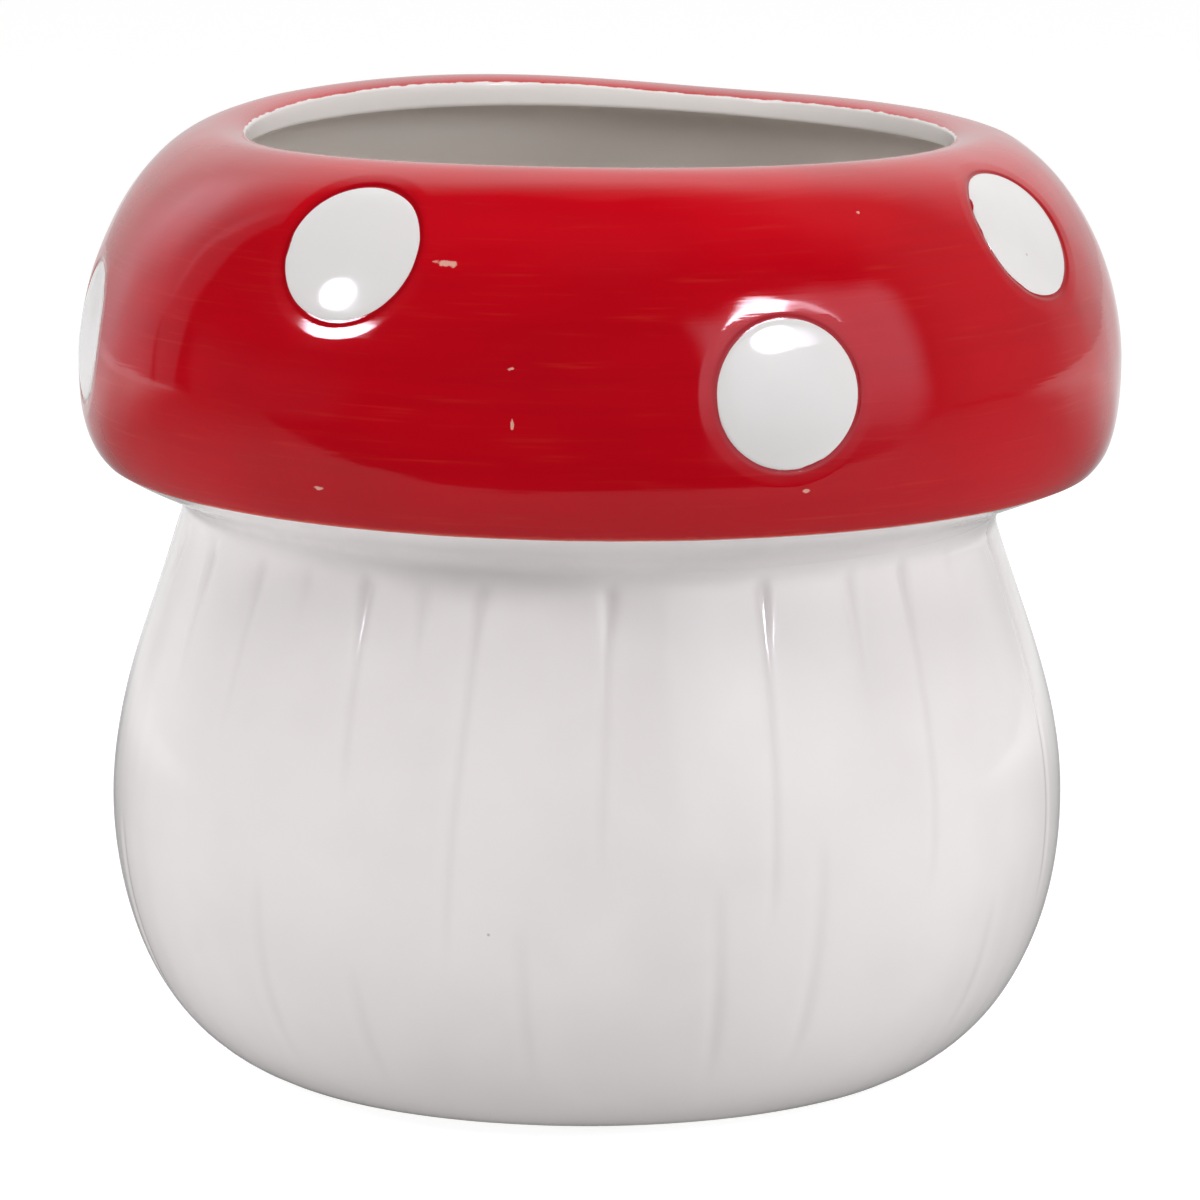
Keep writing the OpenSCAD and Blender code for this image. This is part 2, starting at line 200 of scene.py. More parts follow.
class PLANTER_PG_stem(bpy.types.PropertyGroup):
    """Sizes of the grooved stem pot and its foot"""
    neck_height: length(87, "Neck height", "Height of the neck, where the stem meets the cap")
    belly_width: length(146.8, "Belly width", "Width of the stem across its belly")
    belly_height: length(41.8, "Belly height", "Height of the belly's widest part")
    base_width: length(86, "Base width", "Width at which the curve under the belly would end")
    base_sink: length(0.5, "Base sink", "How far below the table that curve would end")
    taper_rise: length(18.8, "Taper rise", "How far above the neck the stem's taper would end")
    cove_drop: length(2.2, "Cove drop", "How far below the neck the stem begins to curve out")
    cove_tilt: length(1.3, "Cove tilt", "How much lower that curve begins on the right")
    cove_round: length(4.2, "Cove round", "Radius of that curve")
    floor: length(5, "Floor", "Thickness of the pot's floor")
    groove_width: length(4.2, "Groove width", "Width of a groove with its ridge")
    groove_depth: length(0.3, "Groove depth", "Depth of the deepest groove halfway down")
    foot_width: length(95, "Foot width", "Width of the unglazed ring")
    foot_band: length(6, "Foot band", "Width of that ring's band")
    foot_height: length(1.3, "Foot height", "Height of that ring")
    foot_edge: length(0.5, "Foot edge", "Radius of the ring's worn lower edges")
    columns: count(720, "Columns", "Faces round the stem")


class PLANTER_PG_spot(bpy.types.PropertyGroup):
    """Sizes of the white spots and of the dished rings round them"""
    width: length(22, "Width", "Width of a spot across its glazed face")
    low_rise: length(28.6, "Low rise", "Height of the middle of the low spots above the neck")
    high_rise: length(47.6, "High rise", "Height of the middle of the high spots above the neck")
    crown: length(0.15, "Crown", "Rise of a spot's crown above the red glaze")
    dome: length(0.38, "Dome", "Fall of a spot's face from its crown to its edge")
    seat: length(0.75, "Seat", "Depth to which a spot is pressed into the cap")
    shoulder: length(0.15, "Shoulder", "How far a spot's side stands out past its face")
    ring: length(2.35, "Ring", "Width of the dished ring in the red glaze round a spot")
    ring_depth: length(0.2, "Ring depth", "Depth of that ring where it meets the crease round the spot")
    crease: length(0.5, "Crease", "Width of the crease round a spot")
    crease_depth: length(0.17, "Crease depth", "How much deeper than the ring that crease is")
    columns: count(100, "Columns", "Faces round a spot")


class PLANTER_PG_colours(bpy.types.PropertyGroup):
    """Colours of the glazes, the clay and the studio"""
    red: colour(0.54, 0.0014, 0.0085, "Red", "Thick red glaze")
    # Dark red also paints shade over the cap's lower half, along with the thicker glaze there
    red_dark: colour(0.38, 0.001, 0.006, "Dark red", "Red glaze where it lies thicker or has pooled")
    red_thin: colour(0.56, 0.035, 0.02, "Thin red", "Red glaze drawn thin at its edges")
    white: colour(0.80, 0.767, 0.762, "White", "White glaze of the stem, the underside and the inside")
    # The pooled white also paints shade into the stem's grooves
    pooled: colour(0.70, 0.665, 0.66, "Pooled white", "White glaze where it has pooled in a groove")
    # The inside colour is painted shade: darker and warmer than the white, where less light reaches
    # inside the pot
    inside: colour(0.72, 0.672, 0.61, "Inside", "Thinner white glaze inside the pot")
    spot: colour(0.75, 0.733, 0.728, "Spot", "White glaze of the spots")
    clay: colour(0.66, 0.60, 0.52, "Clay", "Bare fired clay of the foot")
    table: colour(0.3, 0.3, 0.3, "Table", "Table that the planter stands on")


# Forms

def reached(value, low, high):
    """The share that value has reached of the way from low to high, held between 0 and 1."""
    return min(1.0, max(0.0, (value - low) / (high - low)))


def eased(share):
    return share * share * (3 - 2 * share)


def squared_arc(centre, size, square, start, end, steps):
    """Part of a squared circle in the upright plane, as points of radius and height."""
    points = []
    for i in range(steps + 1):
        turn = start + (end - start) * i / steps
        across, up = math.cos(turn), math.sin(turn)
        points.append(Vector((
            centre[0] + size[0] * abs(across) ** (2 / square),
            centre[1] + math.copysign(size[1] * abs(up) ** (2 / square), up))))
    return points


def at_azimuth(point, azimuth):
    return Vector((point.x * math.sin(azimuth), -point.x * math.cos(azimuth), point.y))


def azimuth_of(place):
    return math.atan2(place.x, -place.y)


class StemForm:
    """Outline and grooves of the stem pot."""

    def __init__(self, stem, cap):
        self.sizes = stem
        self.belly = stem.belly_width / 2
        self.belly_h = stem.belly_height
        self.base = stem.base_width / 2
        self.drop = stem.belly_height + stem.base_sink
        self.taper = cap.width / 2 - cap.overhang
        self.taper_h = stem.neck_height + stem.taper_rise
        self.neck_h = stem.neck_height
        self.foot_h = stem.foot_height
        self.half_turn = stem.groove_width / stem.belly_width
        self.neck = self.radius(self.neck_h)

    def radius(self, height):
        if height < self.belly_h:
            share = 1 - ((self.belly_h - height) / self.drop) ** BELLY_SQUARE
            return self.base + (self.belly - self.base) * share ** (1 / BELLY_SQUARE)
        turn = math.pi * (height - self.belly_h) / (self.taper_h - self.belly_h)
        return self.taper + (self.belly - self.taper) * (1 + math.cos(turn)) / 2

    def slope(self, height):
        step = 0.5 * MM
        return (self.radius(height + step) - self.radius(height - step)) / (2 * step)

    def cove(self, height, azimuth):
        """How far the stem's top curves out under the cap, and how steeply it does so there."""
        sizes = self.sizes
        rise = max(0.0, height - self.neck_h + sizes.cove_drop + sizes.cove_tilt * math.sin(azimuth))
        return rise * rise / (2 * sizes.cove_round), rise / sizes.cove_round

    def inner(self, height, depth):
        return self.radius(height) - depth * math.sqrt(1 + self.slope(height) ** 2)

    def cuts_at(self, share):
        """Azimuth, depth and width of each groove that is cut at a share of the way down."""
        found = []
        for row in GROOVES:
            depth, wide = 0.0, 1.2
            for start, end, strength in (row[2:5], row[5:8]) if len(row) > 5 else (row[2:5],):
                down = reached(share, start, end)
                # a cut deepens on its way down, but at the neck it starts as a wide, deep wedge
                lean, soft = 0.5 + 0.7 * down, CUT_FADE
                if start < CUT_FADE:
                    wedge = 1 - eased(reached(share, 0.02, 0.16))
                    lean, soft = 1.0 - 0.4 * down + 1.4 * wedge, NECK_FADE
                    wide = 0.8 + 0.8 * wedge if share < end else wide
                depth += strength * lean * eased(reached(share, start, start + soft)) * (
                    1 - eased(reached(share, end - 2 * CUT_FADE, end)))
            if depth:
                found.append((math.radians(row[0] + (row[1] - row[0]) * share), depth, wide))
        return found

    def relief(self, azimuth, cuts):
        """Height of the surface over the smooth stem, as a share of the deepest groove."""
        height = 0.0
        for middle, depth, wide in cuts:
            x = math.remainder(azimuth - middle, 2 * math.pi) / (self.half_turn * wide)
            if abs(x) < 3:
                height += depth * sum(rise * math.exp(-((x - place) / width) ** 2)
                                      for rise, place, width in GROOVE_WAVES)
        return height


class CapForm:
    """Outline of the cap, and how the soft clay settled."""
    samples = 240

    def __init__(self, cap, stem, spot):
        self.cap, self.spot = cap, spot
        self.stem = StemForm(stem, cap)
        self.neck_h = stem.neck_height
        self.edge_h = self.neck_h + cap.edge_rise
        self.widest_h = self.neck_h + cap.widest_rise
        self.rim_h = self.neck_h + cap.height
        self.radius = cap.width / 2
        self.mouth = cap.mouth_width / 2
        self.crest = self.mouth + cap.lip_width
        drop = self.widest_h - self.edge_h + cap.roll_tail
        edge_turn = math.asin(((self.widest_h - self.edge_h) / drop) ** (ROLL_SQUARE / 2))
        self.outline = squared_arc((self.radius - cap.roll_in, self.widest_h), (cap.roll_in, drop),
                                   ROLL_SQUARE, -edge_turn, 0, self.samples // 4)
        dome = (self.radius - self.crest, self.rim_h - self.widest_h)
        self.outline += squared_arc((self.crest, self.widest_h), dome, DOME_SQUARE, 0, math.pi / 2,
                                    self.samples)[1:]
        self.lengths = [0.0]
        for before, after in zip(self.outline, self.outline[1:]):
            self.lengths.append(self.lengths[-1] + (after - before).length)
        self.length = self.lengths[-1]
        self.step = self.length / 90
        self.edge = self.outline[0]
        self.edge_inner = self.inward(0, cap.wall)
        rises = (spot.low_rise, spot.high_rise)
        self.places = [(self.length_at(self.neck_h + rises[i % 2]), azimuth)
                       for i, azimuth in enumerate(SPOT_AZIMUTHS)]

    @functools.cache
    def at(self, along):
        """The point of the outline at a length along it from the red glaze's lower edge."""
        along = min(self.length, max(0.0, along))
        i = min(len(self.lengths) - 2, max(0, bisect.bisect_right(self.lengths, along) - 1))
        share = (along - self.lengths[i]) / (self.lengths[i + 1] - self.lengths[i])
        return self.outline[i].lerp(self.outline[i + 1], share)

    def inward(self, along, depth):
        run = (self.at(along + self.step) - self.at(along - self.step)).normalized()
        return self.at(along) + depth * Vector((-run.y, run.x))

    def length_at(self, height):
        for i in range(len(self.outline) - 1):
            low, high = self.outline[i].y, self.outline[i + 1].y
            if low <= height <= high:
                piece = self.lengths[i + 1] - self.lengths[i]
                return self.lengths[i] + piece * (height - low) / (high - low)
        raise ValueError("that height is off the cap")

    def underside(self, share, azimuth):
        """The underside's outline, a cubic curve that goes on from the stem out to the red edge."""
        out, slope = self.stem.cove(self.neck_h, azimuth)
        slope += self.stem.slope(self.neck_h)
        neck = Vector((self.stem.neck + out, self.neck_h))
        rise = 0.6 * self.cap.underside_rise
        points = (neck, neck + Vector((slope * rise, rise)),
                  self.edge - Vector((1.5, 0.8)) * (self.edge_h - self.neck_h - rise), self.edge)
        keep = 1 - share
        weights = (keep ** 3, 3 * keep * keep * share, 3 * keep * share * share, share ** 3)
        return sum((weight * point for weight, point in zip(weights, points)), Vector((0, 0)))

    def underside_in(self, share, azimuth, depth):
        run = (self.underside(share + 0.01, azimuth) - self.underside(share - 0.01, azimuth)).normalized()
        return self.underside(share, azimuth) + depth * Vector((-run.y, run.x))

    def back_dip(self, azimuth):
        turn = math.remainder(azimuth - BACK_DIP_AZIMUTH, 2 * math.pi)
        return self.cap.back_dip * math.exp(-(turn / BACK_DIP_TURN) ** 2)

    def rim_wave(self, azimuth):
        cap = self.cap
        return (cap.sway * math.cos(2 * (azimuth - RIM_SWAY_AZIMUTH)) - cap.left_rise * math.sin(azimuth)
                - cap.ripple * math.sin(3 * azimuth) - self.back_dip(azimuth))

    def settled(self, point, azimuth):
        """A point of radius and height in its place on the cap, with the rim's wave and the sag."""
        over_stem = 1 - reached(point.y, self.neck_h, self.edge_h)
        sag = (1 - over_stem) * (1 - reached(point.y, self.edge_inner.y, self.widest_h))
        rim = reached(point.y, self.widest_h, self.rim_h) ** RIM_FADE
        place = at_azimuth(point, azimuth)
        place.z += self.rim_wave(azimuth) * rim - self.cap.edge_sag * sag * place.x / self.edge.x
        place.x -= self.cap.shift * over_stem
        return place

    def skin(self, along, azimuth):
        return self.settled(self.at(along), azimuth)

    def facing(self, along, azimuth):
        turn = self.step / self.radius
        sideways = self.skin(along, azimuth + turn) - self.skin(along, azimuth - turn)
        up = self.skin(along + self.step, azimuth) - self.skin(along - self.step, azimuth)
        return sideways.cross(up).normalized()

    def spot_offset(self, along, azimuth):
        """Distance over the skin to the middle of the nearest spot, or a far one if none is near."""
        nearest = 1.0
        for middle, spot_azimuth in self.places:
            up = along - middle
            turn = math.remainder(azimuth - spot_azimuth, 2 * math.pi)
            if abs(up) < SPOT_REACH and abs(turn) < SPOT_TURN:
                across = (self.at(along).x + self.at(middle).x) / 2
                nearest = min(nearest, math.hypot(up, turn * across))
        return nearest

    def ring(self, offset, place):
        """Depth of the dished ring and the crease in the skin, at a distance from a spot's middle."""
        spot, inner = self.spot, self.spot.width / 2 + self.spot.shoulder
        dish = (1 - reached(offset, inner, inner + spot.ring)) ** 1.1
        dish *= 1 + uneven(place, 0.3, 4 * MM, 31)
        crease = 1 - eased(reached(offset, inner, inner + spot.crease))
        return spot.ring_depth * dish + spot.crease_depth * crease

    def on_spot(self, i, offset, turn, rise):
        """A point at a distance and a turn about a spot's middle, at a height over the skin."""
        middle, spot_azimuth = self.places[i]
        along = middle + offset * math.cos(turn)
        across = (self.at(along).x + self.at(middle).x) / 2
        azimuth = spot_azimuth + offset * math.sin(turn) / across
        return self.skin(along, azimuth) + rise * self.facing(along, azimuth)


def forms(context):
    scene = context.scene
    return CapForm(scene.planter_cap, scene.planter_stem, scene.planter_spot)


def uneven(place, size, spacing, seed):
    """Slight unevenness of a hand-finished surface."""
    return size * noise.noise(place / spacing + Vector((seed, 0, 0)))


# Meshes

def spun(outline, columns, closed, marks=()):
    """A bmesh of an outline of radius and height turned once round Z, and the layers of its marks.

    Each point of the outline comes with its value of each mark. One sector is swept and then copied
    round, which is far quicker."""
    mesh = bmesh.new()
    layers = {name: mesh.verts.layers.float.new(name) for name in marks}
    verts = []
    for point, values in outline:
        vert = mesh.verts.new(at_azimuth(Vector(point), 0))
        for name, value in zip(marks, values):
            vert[layers[name]] = value
        verts.append(vert)
    pairs = list(zip(verts, verts[1:])) + ([(verts[-1], verts[0])] if closed else [])
    edges = [mesh.edges.new(pair) for pair in pairs]
    turn = {"cent": (0, 0, 0), "axis": (0, 0, 1)}
    bmesh.ops.spin(mesh, geom=verts + edges, angle=2 * math.pi / SECTORS,
                   steps=round(columns / SECTORS), **turn)
    bmesh.ops.spin(mesh, geom=mesh.verts[:] + mesh.edges[:] + mesh.faces[:], use_duplicate=True,
                   angle=2 * math.pi * (1 - 1 / SECTORS), steps=SECTORS - 1, **turn)
    bmesh.ops.remove_doubles(mesh, verts=mesh.verts, dist=1e-6)
    bmesh.ops.recalc_face_normals(mesh, faces=mesh.faces)
    return mesh, layers


def placed(name, data):
    """A new object in the scene."""
    thing = bpy.data.objects.new(name, data)
    bpy.context.scene.collection.objects.link(thing)
    return thing


def placed_mesh(name, mesh, material):
    """The bmesh as a new object in the scene."""
    data = bpy.data.meshes.new(name)
    mesh.to_mesh(data)
    mesh.free()
    data.materials.append(material)
    return placed(name, data)


def finished(mesh, name, node, material):
    """The bmesh as a smooth piece, with its corners kept sharp, that stands for a CAD node."""
    for face in mesh.faces:
        face.smooth = True
    for edge in mesh.edges:
        edge.smooth = edge.calc_face_angle(0) < SHARP
    piece = placed_mesh(name, mesh, material)
    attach(piece, BODY)
    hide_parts(node)
    return piece


# Shader nodes

def node(tree, kind, inputs=None, **settings):
    """A shader node with its settings, and its inputs linked or set by name or number."""
    made = tree.nodes.new("ShaderNode" + kind)
    for key, value in settings.items():
        setattr(made, key, value)
    for key, value in (inputs or {}).items():
        if isinstance(value, bpy.types.NodeSocket):
            tree.links.new(value, made.inputs[key])
        else:
            made.inputs[key].default_value = value
    return made


def joined(kind, inputs, **settings):
    """A shader node in the tree that its first linked input belongs to."""
    linked = next(value for value in inputs.values() if isinstance(value, bpy.types.NodeSocket))
    return node(linked.id_data, kind, inputs, **settings)


def maths(operation, *values):
    return joined("Math", dict(enumerate(values)), operation=operation).outputs[0]


plus = functools.partial(maths, "ADD")
times = functools.partial(maths, "MULTIPLY")
times_plus = functools.partial(maths, "MULTIPLY_ADD")


def mixed(share, first, second):
    """Colour that goes from first to second with a share."""
    inputs = {0: share}
    for key, value in ((6, first), (7, second)):
        inputs[key] = value if isinstance(value, bpy.types.NodeSocket) else (*value, 1)
    return joined("Mix", inputs, data_type="RGBA").outputs[2]


def ramp(value, low, high, start=0.0, end=1.0):
    """Goes gently from start to end while a value goes from low to high."""
    inputs = {0: value, 1: low, 2: high, 3: start, 4: end}
    return joined("MapRange", inputs, interpolation_type="SMOOTHSTEP").outputs[0]


def patched(first, second, most, value, low, high):
    """Colour that goes from first to at most a share of second while a value goes from low to high."""
    return mixed(ramp(value, low, high, 0.0, most), first, second)


def grain(place, scale, detail=2.0):
    inputs = {"Vector": place, "Scale": scale, "Detail": detail, "Roughness": 0.55}
    return joined("TexNoise", inputs).outputs[0]


def stretched(place, scale):
    return joined("Mapping", {"Vector": place, "Scale": scale}).outputs[0]


def mark(tree, name):
    return node(tree, "Attribute", attribute_name=name).outputs["Fac"]


def vector(operation, first, second=(0, 0, 0)):
    return joined("VectorMath", {0: first, 1: second}, operation=operation).outputs


def specks(place, cells, size, share):
    """Small round pinholes, one in a share of the cells of a pattern with so many cells a metre."""
    cell = joined("TexVoronoi", {"Vector": place, "Scale": cells})
    near = ramp(cell.outputs["Distance"], size, 0.5 * size)
    chosen = joined("SeparateColor", {0: cell.outputs["Color"]}).outputs[0]
    return times(near, maths("LESS_THAN", chosen, share))


def new_material(name, roughness=0.5):
    """A material with its node tree, its shader and its place on the object."""
    material = bpy.data.materials.new(name)
    material.use_nodes = True
    tree = material.node_tree
    shader = tree.nodes["Principled BSDF"]
    shader.inputs["Roughness"].default_value = roughness
    return material, tree, shader, node(tree, "TexCoord").outputs["Object"]


def coat(shader, shade, height, distance):
    """Gives a shader its colour, and bumps that are a distance high where height is 1."""
    links = shader.id_data.links
    bump = joined("Bump", {"Height": height, "Distance": distance})
    links.new(shade, shader.inputs["Base Color"])
    links.new(bump.outputs[0], shader.inputs["Normal"])


def add_glow(tree, first, glow):
    """Adds a glow to a shader and puts both out."""
    both = node(tree, "AddShader", {0: first.outputs[0], 1: glow.outputs[0]})
    tree.links.new(both.outputs[0], tree.nodes["Material Output"].inputs["Surface"])


def whitened(place, colours, pooled=None):
    """Colour of the white glaze: faint cloudiness, greyer in the grooves as painted shade along with
    pooled glaze, fine dark pinholes.
    """
    shade = patched(colours.white, colours.pooled, 0.3, grain(place, 45), 0.35, 0.7)
    # the deeper the groove, the greyer the white: painted shade in the grooves along with pooled glaze
    if pooled:
        shade = mixed(times(pooled, 0.7), shade, colours.pooled)
    return mixed(times(specks(place, 110, 0.035, 0.3), 0.6), shade, PINHOLE)


def chips(place, form):
    """Pale chips and scratches in the red glaze, one for each row of CHIPS."""
    total = None
    rough_edge = grain(place, 900, 3)
    for azimuth, height, long, high in CHIPS:
        middle = form.skin(form.length_at(height * MM), math.radians(azimuth))
        offset = vector("SUBTRACT", place, middle)[0]
        turned = joined("VectorRotate", {"Vector": offset, "Angle": -math.radians(azimuth)},
                        rotation_type="Z_AXIS").outputs[0]
        scaled = vector("MULTIPLY", turned, (2 / (long * MM), 300, 2 / (high * MM)))[0]
        away = vector("LENGTH", scaled)["Value"]
        spot = ramp(times_plus(rough_edge, 2.2, away), 2.1, 1.75)
        total = spot if total is None else maths("MAXIMUM", total, spot)
    return total


# Pieces

class PlanterOperator(bpy.types.Operator):
    bl_options = {"REGISTER", "UNDO"}


class PLANTER_OT_stem(PlanterOperator):
    """Makes the white stem pot: grooved outside, smooth inside, with a flat floor"""
    bl_idname = "planter.stem"
    bl_label = "Stem pot"

    def execute(self, context):
        stem, cap = context.scene.planter_stem, context.scene.planter_cap
        form = StemForm(stem, cap)
        floor_h = stem.foot_height + stem.floor
        foot_r = form.radius(form.foot_h)
        rings, inner_rings, foot_turn = 78, 18, 0.35 * MM
        # a point with its share of the way down, then 1 where the surface is inside or underneath
        outline = [((0, form.foot_h), (1, 1)), ((foot_r / 2, form.foot_h), (1, 1)),
                   ((foot_r - foot_turn, form.foot_h), (1, 0))]
        low = form.foot_h + foot_turn
        for i in range(rings + 1):
            height = low + (form.neck_h - low) * i / rings
            outline.append(((form.radius(height), height), (1 - i / rings, 0)))
        for i in range(inner_rings + 1):
            height = form.neck_h + (floor_h + 2 * MM - form.neck_h) * i / inner_rings
            outline.append(((form.inner(height, cap.wall), height), (0, 1)))
        corner = form.inner(floor_h + 2 * MM, cap.wall)
        for point in ((corner - 1.2 * MM, floor_h + 0.6 * MM), (corner - 4 * MM, floor_h),
                      (corner / 2, floor_h), (0, floor_h)):
            outline.append((point, (0, 1)))
        mesh, layers = spun(outline, stem.columns, False, ("down", "inner"))
        sunk = mesh.verts.layers.float.new("sunk")
        cuts = {}
        for vert in mesh.verts:
            if vert[layers["inner"]] < 0.5:
                share = round(vert[layers["down"]], 6)
                if share not in cuts:
                    cuts[share] = form.cuts_at(share)
                azimuth = azimuth_of(vert.co)
                relief = form.relief(azimuth, cuts[share])
                out = Vector((math.sin(azimuth), -math.cos(azimuth), 0))
                keep = eased(reached(share, 0, 0.05))
                cove, _ = form.cove(vert.co.z, azimuth)
                flutes = Vector((azimuth * form.belly, vert.co.z / 12, 0))
                lumps = uneven(vert.co, 0.12 * MM, 16 * MM, 3) + uneven(flutes, 0.03 * MM, 5 * MM, 5)
                vert.co += out * (cove + relief * stem.groove_depth + keep * lumps)
                # the groove's depth is kept for the glaze, which greys the grooves with it as painted
                # shade along with pooled glaze
                vert[sunk] = max(0.0, -relief)
            vert.co.x -= cap.shift
        finished(mesh, "stem_pot", "stem", white_glaze(context))
        return {"FINISHED"}


class PLANTER_OT_foot(PlanterOperator):
    """Makes the bare clay ring that the pot stands on"""
    bl_idname = "planter.foot"
    bl_label = "Foot ring"

    def execute(self, context):
        stem, cap = context.scene.planter_stem, context.scene.planter_cap
        outer = stem.foot_width / 2
        inner, edge = outer - stem.foot_band, stem.foot_edge
        points = [(radius, stem.foot_height) for radius in (inner, inner + stem.foot_band / 2, outer)]
        for centre, start, end in ((outer - edge, 0, -90), (inner + edge, -90, -180)):
            for i in range(6):
                turn = math.radians(start + (end - start) * i / 5)
                points.append((centre + edge * math.cos(turn), edge + edge * math.sin(turn)))
        mesh, _ = spun([(point, ()) for point in points], 240, True)
        bmesh.ops.translate(mesh, verts=mesh.verts, vec=(-cap.shift, 0, 0))
        finished(mesh, "foot_ring_clay", "foot_ring", bare_clay(context))
        return {"FINISHED"}


class PLANTER_OT_underside(PlanterOperator):
    """Makes the white underside of the cap, from the neck out to the red edge"""
    bl_idname = "planter.underside"
    bl_label = "Cap underside"

    def execute(self, context):
        form = forms(context)
        cap = form.cap
        rings, inner_rings = 30, 12
        outline = [(form.underside(i / rings, 0), (i / rings, 0)) for i in range(rings + 1)]
        outline.append((form.edge_inner, (1, 1)))
        for i in range(inner_rings - 1, 0, -1):
            outline.append((form.underside_in(i / inner_rings, 0, cap.wall), (i / inner_rings, 1)))
        outline.append(((form.stem.neck - cap.wall, form.neck_h), (0, 1)))
        mesh, layers = spun(outline, 360, True, ("out", "inner"))
        painted = mesh.verts.layers.float.new("painted")
        for vert in mesh.verts:
            azimuth, share = azimuth_of(vert.co), vert[layers["out"]]
            point = Vector((math.hypot(vert.co.x, vert.co.y), vert.co.z))
            if not vert[layers["inner"]]:
                point = form.underside(share, azimuth)
                vert[painted] = (form.edge - point).length
            elif 0 < share < 1:
                point = form.underside_in(share, azimuth, cap.wall)
            vert.co = form.settled(point, azimuth)
        glaze = white_glaze(context, "underside_glaze", True)
        finished(mesh, "cap_underside_flare", "cap_underside", glaze)
        return {"FINISHED"}


class PLANTER_OT_dome(PlanterOperator):
    """Makes the red shell of the cap with its rolled lip and the dished rings round the spots"""
    bl_idname = "planter.dome"
    bl_label = "Cap dome"

    def outline(self, form):
        cap = form.cap
        rings, lip_rings, inner_rings = 66, 10, 18
        points = [(form.at(form.length * i / rings), form.length * i / rings) for i in range(rings + 1)]
        drop, half = cap.lip_fall, math.pi / 2
        for i in range(1, lip_rings + 1):
            turn = half * i / lip_rings
            points.append(Vector((form.crest - cap.lip_width * math.sin(turn),
                                  form.rim_h - drop * (1 - math.cos(turn)))))
        low = form.rim_h - drop - cap.lip_face
        points.append(Vector((form.mouth, low + (cap.lip_face + cap.lip_turn) / 2)))
        for i in range(5):
            turn = half * i / 4
            points.append(Vector((form.mouth + cap.lip_turn * (1 - math.cos(turn)),
                                  low + cap.lip_turn * (1 - math.sin(turn)))))
        for i in range(inner_rings, 0, -1):
            points.append(form.inward(form.length * i / inner_rings, cap.wall))
        points.append(form.edge_inner)
        outline = [(point, (along, 0)) for point, along in points[:rings + 1]]
        run, before = form.length, points[rings][0]
        for point in points[rings + 1:]:
            run += (point - before).length
            outline.append((point, (run, 1)))
            before = point
        return outline

    def execute(self, context):
        form = forms(context)
        cap, spot = form.cap, form.spot
        mesh, layers = spun(self.outline(form), cap.columns, True, ("along", "inner"))
        along, inner = layers["along"], layers["inner"]
        edge = spot.width / 2 + spot.shoulder
        # the faces round the spots' edges are cut finer, twice
        for near, far in ((-1.6 * MM, 4 * MM), (-0.8 * MM, 2.9 * MM)):
            close = set()
            for vert in mesh.verts:
                offset = form.spot_offset(vert[along], azimuth_of(vert.co)) - edge
                if vert[inner] < 0.01 and near < offset < far:
                    close.add(vert)
            faces = [face for face in mesh.faces if any(vert in close for vert in face.verts)]
            edges = list({side for face in faces for side in face.edges})
            bmesh.ops.subdivide_edges(mesh, edges=edges, cuts=1, use_grid_fill=True)
        bmesh.ops.triangulate(mesh, faces=[face for face in mesh.faces if len(face.verts) > 4])
        sunk = mesh.verts.layers.float.new("sunk")
        for vert in mesh.verts:
            azimuth = azimuth_of(vert.co)
            if vert[inner] > 0:
                # the pale face below the lip's roll is taller at the back than in front
                low = vert.co.z < form.rim_h - cap.lip_fall - 0.4 * cap.lip_face
                radius = math.hypot(vert.co.x, vert.co.y)
                if low and radius < form.crest - cap.lip_width / 2:
                    deeper = cap.lip_deeper * math.cos(azimuth + math.pi)
                    vert.co.z -= deeper - 0.8 * form.back_dip(azimuth)
                vert.co = form.settled(Vector((radius, vert.co.z)), azimuth)
                continue
            offset = form.spot_offset(vert[along], azimuth)
            place = form.skin(vert[along], azimuth)
            dip = form.ring(offset, place)
            # the slight lumps fade out towards the shell's two edges
            keep = eased(reached(vert[along], 0, 3 * MM))
            keep *= eased(reached(form.length - vert[along], 0, 3 * MM))
            lumps = uneven(place, 0.16 * MM, 19 * MM, 7) + uneven(place, 0.05 * MM, 7 * MM, 11)
            vert.co = place + (keep * lumps - dip) * form.facing(vert[along], azimuth)
            vert[sunk] = dip / (spot.ring_depth + spot.crease_depth)
        finished(mesh, "cap_dome_shell", "cap_dome", red_glaze(context, form))
        return {"FINISHED"}


class PLANTER_OT_spots(PlanterOperator):
    """Makes the eight white spots, each draped over the cap's skin"""
    bl_idname = "planter.spots"
    bl_label = "Spots"

    def execute(self, context):
        form = forms(context)
        spot = form.spot
        side = spot.width / 2 + spot.shoulder
        # the face's rings crowd together where it turns down into the side
        shares = [0.0, 0.1, 0.2, 0.3, 0.4, 0.5, 0.6, 0.7, 0.8,
                  0.87, 0.92, 0.95, 0.966, 0.978, 0.987, 0.993, 0.998, 1.0]
        outline = []
        for share in shares:
            above_seat = spot.crown + spot.seat - spot.dome * share ** 2
            rise = -spot.seat + above_seat * (1 - share ** 40) ** 0.5
            outline.append(((side * share, rise), (side * share,)))
        outline += [((side / 2, -spot.seat), (side,)), ((0, -spot.seat), (side,))]
        material = spot_glaze(context)
        for i, spot_azimuth in enumerate(SPOT_AZIMUTHS):
            mesh, _ = spun(outline, spot.columns, False, ("radius",))
            for vert in mesh.verts:
                offset = math.hypot(vert.co.x, vert.co.y)
                place = form.on_spot(i, offset, azimuth_of(vert.co), vert.co.z)
                lump = uneven(place, 0.05 * MM, 10 * MM, 20 + i) if vert.co.z > -spot.seat else 0.0
                vert.co = place + lump * at_azimuth(Vector((1, 0)), spot_azimuth)
            # laid on the cap's skin the disc is mirrored, so its faces are turned outwards
            bmesh.ops.reverse_faces(mesh, faces=mesh.faces)
            finished(mesh, f"spot_{i + 1}_raised", f"spot_{i + 1}", material)
        return {"FINISHED"}


# Finishes

